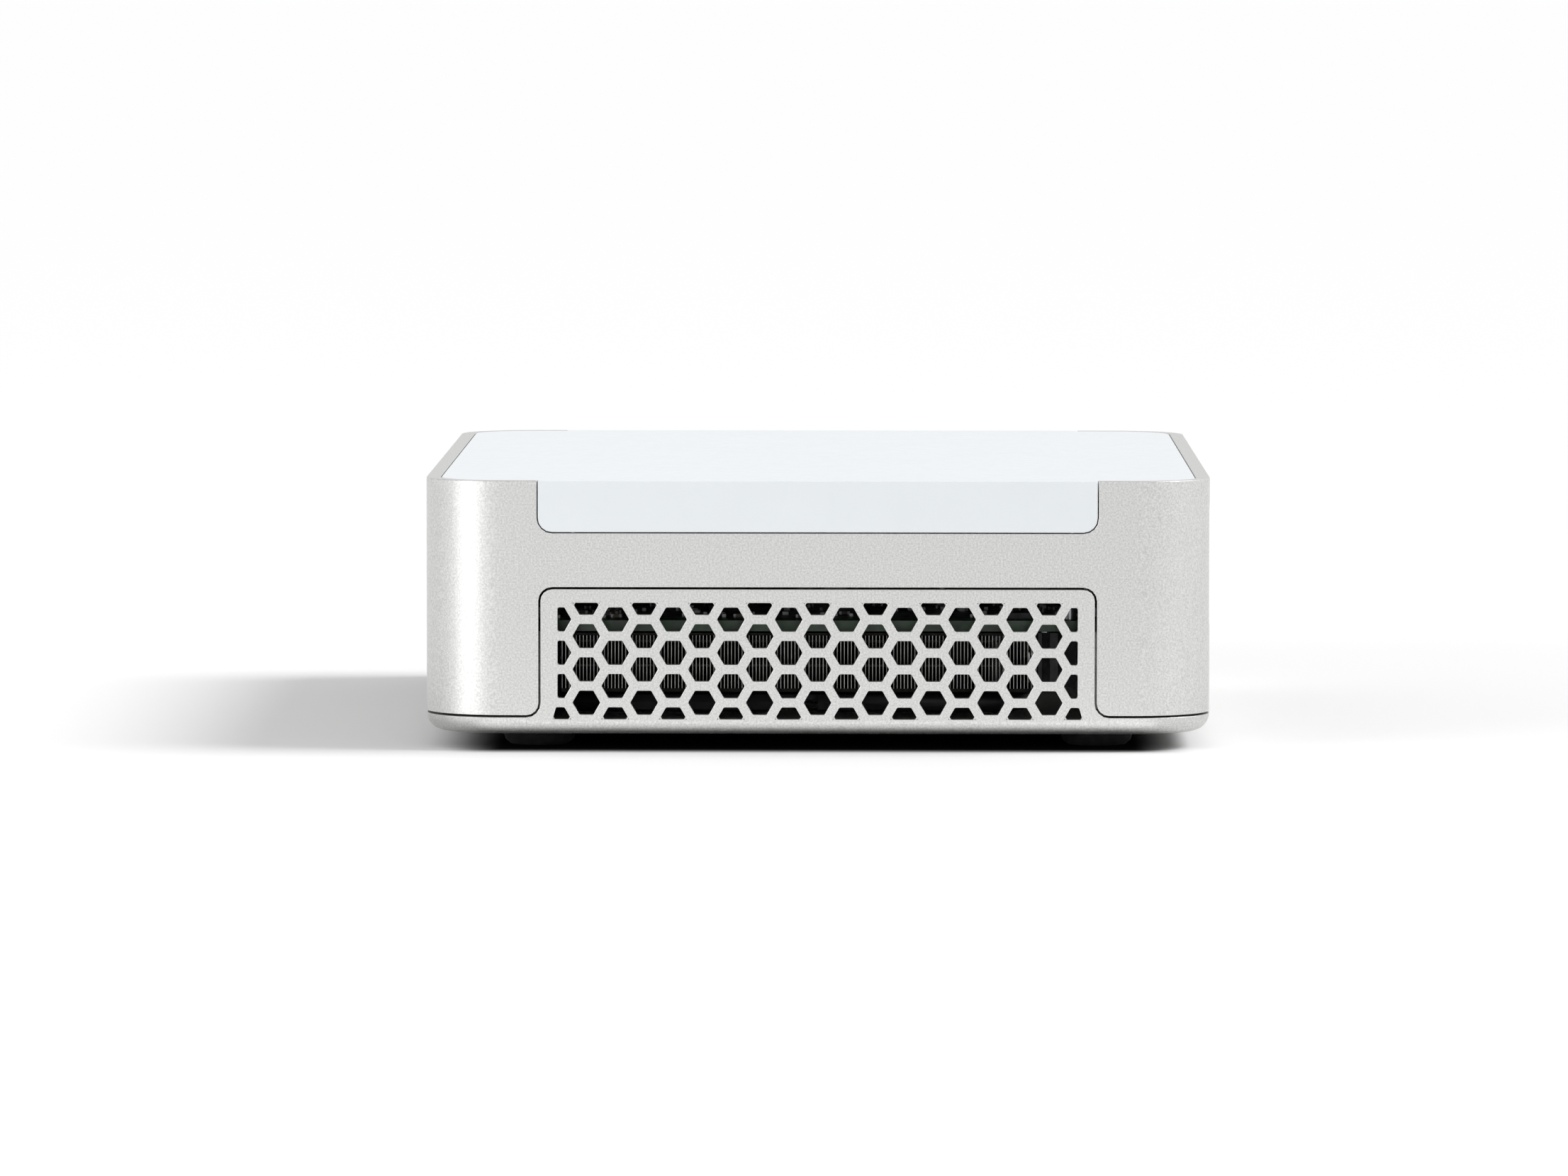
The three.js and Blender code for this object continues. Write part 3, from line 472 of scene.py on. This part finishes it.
# ---- small parts on the board ----
def scatter_parts():
    """Resistors, capacitors and small chips along both faces of the board."""
    rng = random.Random(11)
    low, high = (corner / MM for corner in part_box("main_board"))
    kept_clear = [
        tuple(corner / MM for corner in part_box(node))
        for node in nodes
        if node not in ("main_board", "housing_ring", "bottom_tray", "top_cover")
    ]
    groups = {"ceramic": bmesh.new(), "solder": bmesh.new(), "chip": bmesh.new()}
    taken = []
    attempts = 1500
    gap = 0.5
    for _ in range(attempts):
        above = rng.random() < 0.6
        kind = rng.choices(("small", "can", "chip"), (0.8, 0.08, 0.12))[0]
        half = {
            "small": (rng.choice((0.5, 0.8)), rng.choice((0.3, 0.45))),
            "can": (1.6, 1.6),
            "chip": (rng.uniform(1.5, 3.2), rng.uniform(1.5, 3.2)),
        }[kind]
        if rng.random() < 0.5:
            half = (half[1], half[0])
        height = {"small": 0.5, "can": rng.uniform(1.8, 3.0), "chip": 0.9}[kind]
        x = rng.uniform(low.x + 4, high.x - 1.5 - half[0])
        y = rng.uniform(low.y + 4, high.y - 4)
        z0, z1 = (high.z, high.z + height) if above else (low.z - height, low.z)
        if (abs(x) > 56 and abs(y) > 42) or (kind == "can" and abs(x) > 30):
            continue
        clash = any(
            x - half[0] - gap < b.x and x + half[0] + gap > a.x
            and y - half[1] - gap < b.y and y + half[1] + gap > a.y
            and z0 < b.z and z1 > a.z
            for a, b in kept_clear + taken
        )
        if clash:
            continue
        a = Vector((x - half[0], y - half[1], z0))
        b = Vector((x + half[0], y + half[1], z1))
        taken.append((a, b))
        if kind == "small":
            along_x = half[0] > half[1]
            tip = Vector((half[0] * 1.4, 0, 0)) if along_x else Vector((0, half[1] * 1.4, 0))
            add_box(groups["ceramic"], a + tip / 4, b - tip / 4)
            add_box(groups["solder"], a, b - tip)
            add_box(groups["solder"], a + tip, b)
        elif kind == "can":
            add_box(groups["solder"], a, b)
        else:
            add_box(groups["chip"], a, b)
    looks_of = {
        "ceramic": (ceramic, "black_plastic"),
        "solder": (solder, "screw_steel"),
        "chip": (looks["chip_black"], "chip_black"),
    }
    for group, bm in groups.items():
        material, slot = looks_of[group]
        piece_from(bm, "board_" + group + "_parts", material, "case", 0.05 * MM, 1)


scatter_parts()


# ---- contacts in the ports ----
def port_face(node):
    """The middle of a port's open face, in millimetres, and the way it points along Y."""
    low, high = (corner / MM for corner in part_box(node))
    way = 1 if low.y + high.y > 0 else -1
    return (low.x + high.x) / 2, (high.y if way > 0 else low.y), (low.z + high.z) / 2, way


def add_inside(bm, at, across, depth, upright):
    """A box in a port: its spans across, into the port and upright, from the face's middle."""
    x, face, z, way = at
    near, far = sorted((face - way * depth[0], face - way * depth[1]))
    low = (x + across[0], near, z + upright[0])
    add_box(bm, low, (x + across[1], far, z + upright[1]))


def tongue(groups, at, half_width, half_height, rise, near, far):
    """A plastic skin over the tongue in a port."""
    across = (-half_width, half_width)
    add_inside(groups["liners"], at, across, (near, far), (rise - half_height, rise + half_height))


def pins(groups, at, count, pitch, half_width, depth, upright):
    """A row of contacts, spread evenly about the middle of a port."""
    for i in range(count):
        x = (i - (count - 1) / 2) * pitch
        add_inside(groups["pins"], at, (x - half_width, x + half_width), depth, upright)


def usb_a_contacts(groups, at):
    """The tongue of a USB-A socket, and the four contacts under it."""
    tongue(groups, at, half_width=5.57, half_height=0.97, rise=1, near=0.78, far=9)
    pins(groups, at, count=4, pitch=2.4, half_width=0.5, depth=(1.2, 7), upright=(0.0, 0.03))


def network_contacts(groups, at, bottom):
    """Dark skins in the opening of the network jack, its eight contacts and its two lamps."""
    x, face, _, way = at
    at = (x, face, bottom, way)
    opening = (-5.94, 5.94)
    depth = (0.3, 12)
    upright = (2.8, 10.8)
    add_inside(groups["liners"], at, opening, (11.9, 12), upright)
    add_inside(groups["liners"], at, opening, depth, (10.74, 10.8))
    for side in (-1, 1):
        wall = sorted((side * 5.95, side * 5.89))
        add_inside(groups["liners"], at, wall, depth, upright)
        sill = sorted((side * 5.95, side * 3.1))
        add_inside(groups["liners"], at, sill, depth, (2.8, 2.86))
        lamp = sorted((side * 6.3, side * 7.5))
        add_inside(groups["lamps"], at, lamp, (-0.03, 0.1), (10.9, 12.3))
    for pin_depth, pin_height in (((3, 10), (9.9, 10.2)), ((9.7, 10), (6.5, 10.2))):
        pins(groups, at, 8, 1.02, 0.2, pin_depth, pin_height)


def port_contacts():
    """What is seen inside the open ports: tongues, contacts, and the pin of the power inlet."""
    groups = {"liners": bmesh.new(), "pins": bmesh.new(), "lamps": bmesh.new()}
    for node in ("usb_c_front", "usb_c_rear_1", "usb_c_rear_2"):
        at = port_face(node)
        tongue(groups, at, half_width=3.37, half_height=0.37, rise=0, near=0.98, far=5)
        for upright in ((0.37, 0.39), (-0.39, -0.37)):
            pins(groups, at, 12, 0.5, half_width=0.14, depth=(1.15, 3.6), upright=upright)
    for node in ("hdmi_port_1", "hdmi_port_2"):
        at = port_face(node)
        tongue(groups, at, half_width=5.52, half_height=0.52, rise=0.3, near=1.18, far=8)
        for count, upright in ((10, (-0.24, -0.22)), (9, (0.82, 0.84))):
            pins(groups, at, count, 1, half_width=0.3, depth=(1.4, 6), upright=upright)
    for node in ("usb_a_front_1", "usb_a_front_2"):
        usb_a_contacts(groups, port_face(node))
    low, high = (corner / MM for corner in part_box("usb_a_front_1"))
    height = high.z - low.z
    wall = 0.6
    between = 2.6
    x, face, _, way = port_face("usb_a_stack")
    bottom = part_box("usb_a_stack")[0].z / MM + wall
    for middle in (bottom + height / 2, bottom + height * 1.5 + between):
        usb_a_contacts(groups, (x, face, middle, way))
    network_contacts(groups, port_face("ethernet_jack"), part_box("ethernet_jack")[0].z / MM)

    jack_x, jack_face, jack_z, way = port_face("dc_jack")
    place = Matrix.Translation(Vector((jack_x, jack_face - way * 5.5, jack_z)) * MM)
    bmesh.ops.create_cone(
        groups["pins"], cap_ends=True, segments=32, radius1=1.22 * MM, radius2=1.22 * MM,
        depth=9.04 * MM, matrix=place @ Matrix.Rotation(math.radians(90), 4, "X"),
    )
    piece_from(groups["liners"], "port_liners", looks["black_plastic"], "case")
    piece_from(groups["pins"], "port_pins", gold, "case")
    piece_from(groups["lamps"], "network_lamps", lamp_green, "case")


port_contacts()


# ---- stage, camera, lights ----
def make_floor():
    """A wide white floor with a painted contact shadow under the body at rest: near black, soft at its
    edges.
    """
    # Footprint of the painted contact shadow: axis, inner and outer half-widths in millimetres.
    painted_shadow = (("X", 67, 76), ("Y", 45, 54))
    white = (0.8, 0.8, 0.8)
    dark = (0.01, 0.01, 0.01)
    bm = bmesh.new()
    bmesh.ops.create_grid(bm, x_segments=1, y_segments=1, size=60.0)
    mesh = bpy.data.meshes.new("floor")
    bm.to_mesh(mesh)
    bm.free()
    floor = bpy.data.objects.new("floor", mesh)
    floor.location = (0, 0, cad_low.z)
    scene.collection.objects.link(floor)
    paint = Paint("floor_white_painted_shadow", white, 0.9)
    split = paint.tree.nodes.new("ShaderNodeSeparateXYZ")
    paint.tree.links.new(paint.place, split.inputs["Vector"])
    under = None
    for axis, inner, outer in painted_shadow:
        size = paint.math("ABSOLUTE", split.outputs[axis])
        fade = paint.tree.nodes.new("ShaderNodeMapRange")
        fade.interpolation_type = "SMOOTHSTEP"
        fade.inputs["From Min"].default_value = outer * MM
        fade.inputs["From Max"].default_value = inner * MM
        paint.tree.links.new(size, fade.inputs["Value"])
        here = fade.outputs["Result"]
        under = paint.math("MULTIPLY", under, here) if under else here
    # Paints the shadow: the floor's colour runs from white to near black under the body.
    paint.vary_color(under, white, dark, 0.0, 1.0)
    paint.shader.inputs["Specular IOR Level"].default_value = 0.0
    mesh.materials.append(paint.material)


def make_camera():
    """A long lens on the right side, a little above the lid."""
    yaw, pitch, roll = -0.0087, 0.0664, 0.0007
    ahead = Vector((-math.cos(yaw), math.sin(yaw), 0))
    aside = Vector((math.sin(yaw), math.cos(yaw), 0))
    up = Vector((0, 0, 1))
    forward = ahead * math.cos(pitch) - up * math.sin(pitch)
    head = up * math.cos(pitch) + ahead * math.sin(pitch)
    side = aside * math.cos(roll) + head * math.sin(roll)
    head = head * math.cos(roll) - aside * math.sin(roll)
    data = bpy.data.cameras.new("camera")
    data.sensor_width = 36
    data.lens = 224.2
    data.clip_start = 0.01
    data.clip_end = 50
    camera = bpy.data.objects.new("camera", data)
    place = Matrix((side, head, -forward)).transposed().to_4x4()
    place.translation = Vector((1454.9, 7.26, 115.29)) * MM
    camera.matrix_world = place
    scene.collection.objects.link(camera)
    scene.camera = camera


def area_light(name, spot, target, size, power):
    """A rectangular light at a spot, aimed at a target, that the camera does not see."""
    data = bpy.data.lights.new(name, "AREA")
    data.shape = "RECTANGLE"
    data.size, data.size_y = size
    data.energy = power
    light = bpy.data.objects.new(name, data)
    light.location = spot
    aim = Vector(target) - Vector(spot)
    light.visible_camera = False
    light.rotation_mode = "QUATERNION"
    light.rotation_quaternion = aim.to_track_quat("-Z", "Y")
    scene.collection.objects.link(light)


def make_sky():
    """Light from all round: it falls off from the horizon up, and is a little stronger to the rear."""
    world = bpy.data.worlds.new("studio")
    scene.world = world
    world.use_nodes = True
    tree = world.node_tree
    around = tree.nodes.new("ShaderNodeTexCoord").outputs["Generated"]
    split = tree.nodes.new("ShaderNodeSeparateXYZ")
    tree.links.new(around, split.inputs["Vector"])
    level = 1.05
    for axis, share in (("X", -0.02), ("Y", 0.1), ("Z", -0.5)):
        node = tree.nodes.new("ShaderNodeMath")
        node.operation = "MULTIPLY_ADD"
        tree.links.new(split.outputs[axis], node.inputs[0])
        node.inputs[1].default_value = share
        if isinstance(level, float):
            node.inputs[2].default_value = level
        else:
            tree.links.new(level, node.inputs[2])
        level = node.outputs["Value"]
    tree.nodes["Background"].inputs["Color"].default_value = (1, 1, 1, 1)
    tree.links.new(level, tree.nodes["Background"].inputs["Strength"])


def make_lights():
    """A soft sun from the rear, a panel at the front right, and two small lights near the floor."""
    make_sky()
    sun = bpy.data.lights.new("key", "SUN")
    sun.energy = 2.35
    sun.angle = math.radians(28)
    key = bpy.data.objects.new("key", sun)
    height = math.radians(44)
    aim = Vector((0, -math.cos(height), -math.sin(height)))
    key.rotation_mode = "QUATERNION"
    key.rotation_quaternion = aim.to_track_quat("-Z", "Y")
    scene.collection.objects.link(key)
    area_light("strip", (0.74, -0.9, 0.3), (0.06, -0.05, 0.02), size=(0.46, 0.5), power=4.2)
    area_light("bounce", (0.1, 0, 0.002), (0.1, 0, 1), size=(0.04, 0.22), power=0.006)
    area_light("floor_glow", (0.0765, 0, 0.001), (0.0765, 0, 1), size=(0.009, 0.1), power=0.0012)


make_floor()
make_camera()
make_lights()
scene.view_settings.view_transform = "Standard"
scene.view_settings.look = "None"
